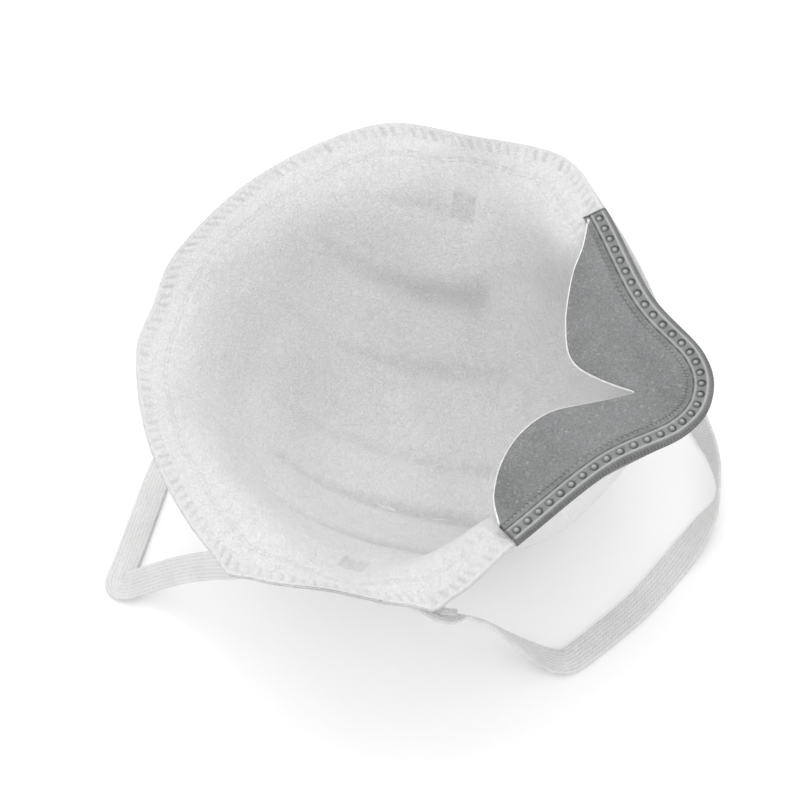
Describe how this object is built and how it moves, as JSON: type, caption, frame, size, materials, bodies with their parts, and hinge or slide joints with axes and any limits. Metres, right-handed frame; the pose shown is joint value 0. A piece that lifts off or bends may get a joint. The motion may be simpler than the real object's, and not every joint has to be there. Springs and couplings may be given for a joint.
{
  "type": "disposable dust mask",
  "caption": "Cup-shaped disposable dust mask with a foam nose seal, a folded nose band and elastic headbands, lying on its dome.",
  "frame": {"origin": "on the surface that the dome rests on, under the middle of the mask", "axes": "+Z from the dome to the opening, +Y from the chin to the nose, +X across the face to the wearer's side"},
  "size_m": [0.1408, 0.1486, 0.0557],
  "materials": {
    "cover_fabric": "white spunbonded nonwoven",
    "shell_fibre": "stiff moulded fibre shell",
    "filter_web": "soft meltblown web",
    "liner_fabric": "soft matt needled felt",
    "clip_metal": "dull soft strip",
    "pad_foam": "matt fine-celled foam",
    "band_film": "embossed grey foam film",
    "elastic": "ribbed white knitted elastic"
  },
  "bodies": {
    "mask": {"outer_cover": "cover_fabric", "support_shell": "shell_fibre", "filter_layer": "filter_web", "inner_liner": "liner_fabric", "nose_clip": "clip_metal", "nose_foam_pad": "pad_foam", "nose_edge_band": "band_film", "side_strap_left": "elastic", "side_strap_right": "elastic"},
    "upper_loop": {"upper_headband": "elastic"},
    "lower_loop": {"lower_headband": "elastic"}
  },
  "joints": [
    {"name": "upper_loop_swing", "type": "hinge", "parent": "mask", "child": "upper_loop", "pos_m": [0, 0.0205, 0.049], "axis": [1, 0, 0], "range_deg": [0, 130]},
    {"name": "lower_loop_swing", "type": "hinge", "parent": "mask", "child": "lower_loop", "pos_m": [0, -0.0285, 0.049], "axis": [-1, 0, 0], "range_deg": [0, 120]}
  ]
}
